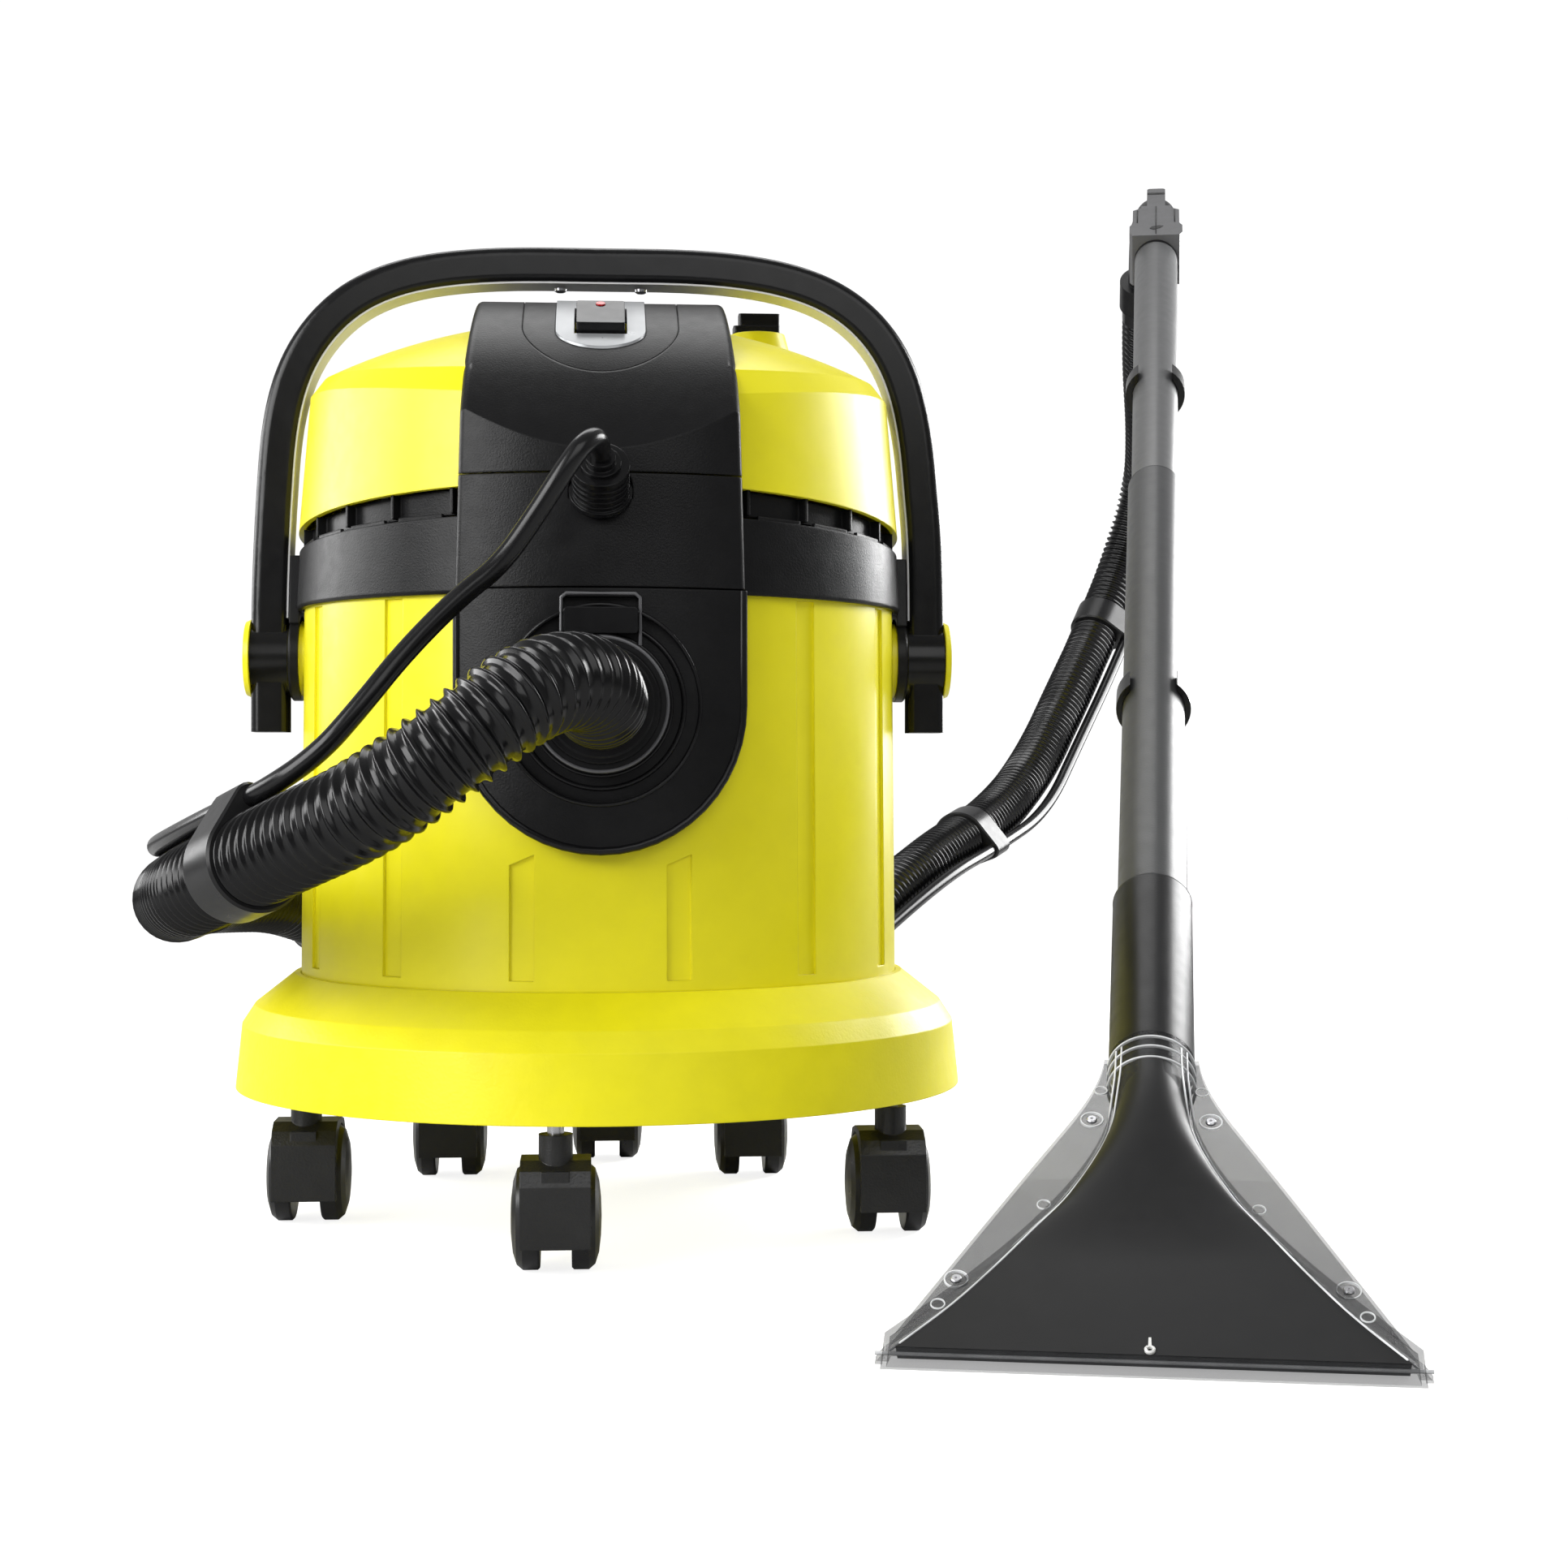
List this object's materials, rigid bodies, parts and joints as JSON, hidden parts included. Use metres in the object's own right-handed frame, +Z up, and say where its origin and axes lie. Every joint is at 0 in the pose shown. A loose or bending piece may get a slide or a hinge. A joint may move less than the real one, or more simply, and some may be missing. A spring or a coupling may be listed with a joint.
{
  "type": "spot extractor",
  "caption": "Round spray-extraction cleaner on casters with a carry bow, a corrugated suction hose, a spray hose clipped to it, and a long floor wand with a clear fan-shaped nozzle.",
  "frame": {"origin": "on the floor, under the middle of the round tub", "axes": "+Z up, -Y to the front, where the hose port is, and +X to the right as seen from the front, where the wand stands"},
  "size_m": [0.7925, 1.4838, 0.7301],
  "materials": {
    "yellow_shell": "satin injection-moulded yellow",
    "black_shell": "fine-grained black",
    "black_gloss": "smooth glossy black",
    "caster_plastic": "coarse-grained black",
    "wheel_plastic": "smooth black",
    "steel": "zinc plated",
    "grip_grey": "pale grey liner",
    "tank_plastic": "natural, translucent white",
    "float_plastic": "orange",
    "seal_rubber": "matte",
    "silver_trim": "silver grey",
    "red_lens": "clear red",
    "motor_metal": "cast",
    "clear_plastic": "clear, slightly scuffed",
    "tube_plastic": "fine-grained dark grey",
    "valve_grey": "satin mid grey",
    "hose_plastic": "corrugated, slightly shiny dark grey",
    "spray_hose_plastic": "smooth black"
  },
  "bodies": {
    "root": {"chassis": "yellow_shell", "tub": "yellow_shell", "pivot_pins": "steel", "dirty_tank": "tank_plastic", "clean_tank": "tank_plastic", "inlet_panel": "black_shell", "head_base": "black_shell", "seals": "seal_rubber", "exhaust_grille": "black_shell", "head_cover": "yellow_shell", "spine_cover": "black_shell", "control_bezel": "black_shell", "switch_trim": "silver_trim", "spine_panels": "black_shell", "spray_socket": "black_gloss", "spray_plug": "black_gloss", "cable_gland": "seal_rubber", "fan_housing": "motor_metal", "suction_motor": "motor_metal", "spray_pump": "tank_plastic", "nozzle_window": "clear_plastic", "nozzle_back": "clear_plastic", "nozzle_socket": "tube_plastic", "lower_tube": "tube_plastic", "upper_tube": "tube_plastic", "spray_pipe": "black_gloss", "handle_grip": "black_shell", "valve_block": "valve_grey", "suction_hose": "hose_plastic", "spray_hose": "spray_hose_plastic", "hose_clips": "black_gloss"},
    "caster_1": {"caster_1_fork": "caster_plastic", "caster_1_pins": "steel"},
    "caster_1_pair": {"caster_1_wheels": "wheel_plastic"},
    "caster_2": {"caster_2_fork": "caster_plastic", "caster_2_pins": "steel"},
    "caster_2_pair": {"caster_2_wheels": "wheel_plastic"},
    "caster_3": {"caster_3_fork": "caster_plastic", "caster_3_pins": "steel"},
    "caster_3_pair": {"caster_3_wheels": "wheel_plastic"},
    "caster_4": {"caster_4_fork": "caster_plastic", "caster_4_pins": "steel"},
    "caster_4_pair": {"caster_4_wheels": "wheel_plastic"},
    "caster_5": {"caster_5_fork": "caster_plastic", "caster_5_pins": "steel"},
    "caster_5_pair": {"caster_5_wheels": "wheel_plastic"},
    "caster_6": {"caster_6_fork": "caster_plastic", "caster_6_pins": "steel"},
    "caster_6_pair": {"caster_6_wheels": "wheel_plastic"},
    "bow": {"carry_handle": "black_gloss", "handle_liner": "grip_grey", "handle_pivot_caps": "yellow_shell"},
    "rocker": {"rocker_switch": "black_gloss", "indicator_lens": "red_lens"},
    "hook": {"cord_hook": "black_gloss"},
    "float_body": {"float": "float_plastic"},
    "release_tab": {"inlet_release_tab": "black_gloss"},
    "trigger": {"spray_trigger": "black_gloss"},
    "port_cuff": {"hose_port_cuff": "black_gloss"},
    "impeller": {"fan_impeller": "motor_metal"}
  },
  "joints": [
    {"name": "bow_hinge", "type": "hinge", "parent": "root", "child": "bow", "pos_m": [0, 0, 0.296], "axis": [1, 0, 0], "range_deg": [0, 45]},
    {"name": "caster_1_swivel", "type": "hinge", "parent": "root", "child": "caster_1", "pos_m": [-0.021, -0.169, 0.06], "axis": [0, 0, 1], "continuous": true},
    {"name": "caster_1_roll", "type": "hinge", "parent": "caster_1", "child": "caster_1_pair", "pos_m": [-0.021, -0.155, 0.025], "axis": [1, 0, 0], "continuous": true},
    {"name": "caster_2_swivel", "type": "hinge", "parent": "root", "child": "caster_2", "pos_m": [-0.153, -0.026, 0.06], "axis": [0, 0, 1], "continuous": true},
    {"name": "caster_2_roll", "type": "hinge", "parent": "caster_2", "child": "caster_2_pair", "pos_m": [-0.153, -0.012, 0.025], "axis": [1, 0, 0], "continuous": true},
    {"name": "caster_3_swivel", "type": "hinge", "parent": "root", "child": "caster_3", "pos_m": [0.147, -0.08, 0.06], "axis": [0, 0, 1], "continuous": true},
    {"name": "caster_3_roll", "type": "hinge", "parent": "caster_3", "child": "caster_3_pair", "pos_m": [0.147, -0.066, 0.025], "axis": [1, 0, 0], "continuous": true},
    {"name": "caster_4_swivel", "type": "hinge", "parent": "root", "child": "caster_4", "pos_m": [-0.088, 0.12, 0.06], "axis": [0, 0, 1], "continuous": true},
    {"name": "caster_4_roll", "type": "hinge", "parent": "caster_4", "child": "caster_4_pair", "pos_m": [-0.088, 0.134, 0.025], "axis": [1, 0, 0], "continuous": true},
    {"name": "caster_5_swivel", "type": "hinge", "parent": "root", "child": "caster_5", "pos_m": [0.088, 0.112, 0.06], "axis": [0, 0, 1], "continuous": true},
    {"name": "caster_5_roll", "type": "hinge", "parent": "caster_5", "child": "caster_5_pair", "pos_m": [0.088, 0.126, 0.025], "axis": [1, 0, 0], "continuous": true},
    {"name": "caster_6_swivel", "type": "hinge", "parent": "root", "child": "caster_6", "pos_m": [0.004, 0.181, 0.06], "axis": [0, 0, 1], "continuous": true},
    {"name": "caster_6_roll", "type": "hinge", "parent": "caster_6", "child": "caster_6_pair", "pos_m": [0.004, 0.195, 0.025], "axis": [1, 0, 0], "continuous": true},
    {"name": "rocker_tilt", "type": "hinge", "parent": "root", "child": "rocker", "pos_m": [0, -0.094, 0.46054], "axis": [1, 0, 0], "range_deg": [-6, 6]},
    {"name": "hook_turn", "type": "hinge", "parent": "root", "child": "hook", "pos_m": [0.088, 0.057, 0.463], "axis": [0, 0, 1], "range_deg": [0, 180]},
    {"name": "float_rise", "type": "slide", "parent": "root", "child": "float_body", "axis": [0, 0, 1], "range_m": [0, 0.036]},
    {"name": "tab_lift", "type": "slide", "parent": "root", "child": "release_tab", "axis": [0, 0, 1], "range_m": [0, 0.004], "stiffness_N_per_m": 300},
    {"name": "trigger_squeeze", "type": "hinge", "parent": "root", "child": "trigger", "pos_m": [0.46931, 0.75074, 0.68151], "axis": [0.9874, -0.1586, 0], "range_deg": [0, 6], "stiffness_Nm_per_rad": 2},
    {"name": "cuff_swivel", "type": "hinge", "parent": "root", "child": "port_cuff", "pos_m": [0, -0.16, 0.267], "axis": [0, 1, 0], "continuous": true},
    {"name": "impeller_spin", "type": "hinge", "parent": "root", "child": "impeller", "pos_m": [0, 0, 0.345], "axis": [0, 0, 1], "continuous": true}
  ]
}
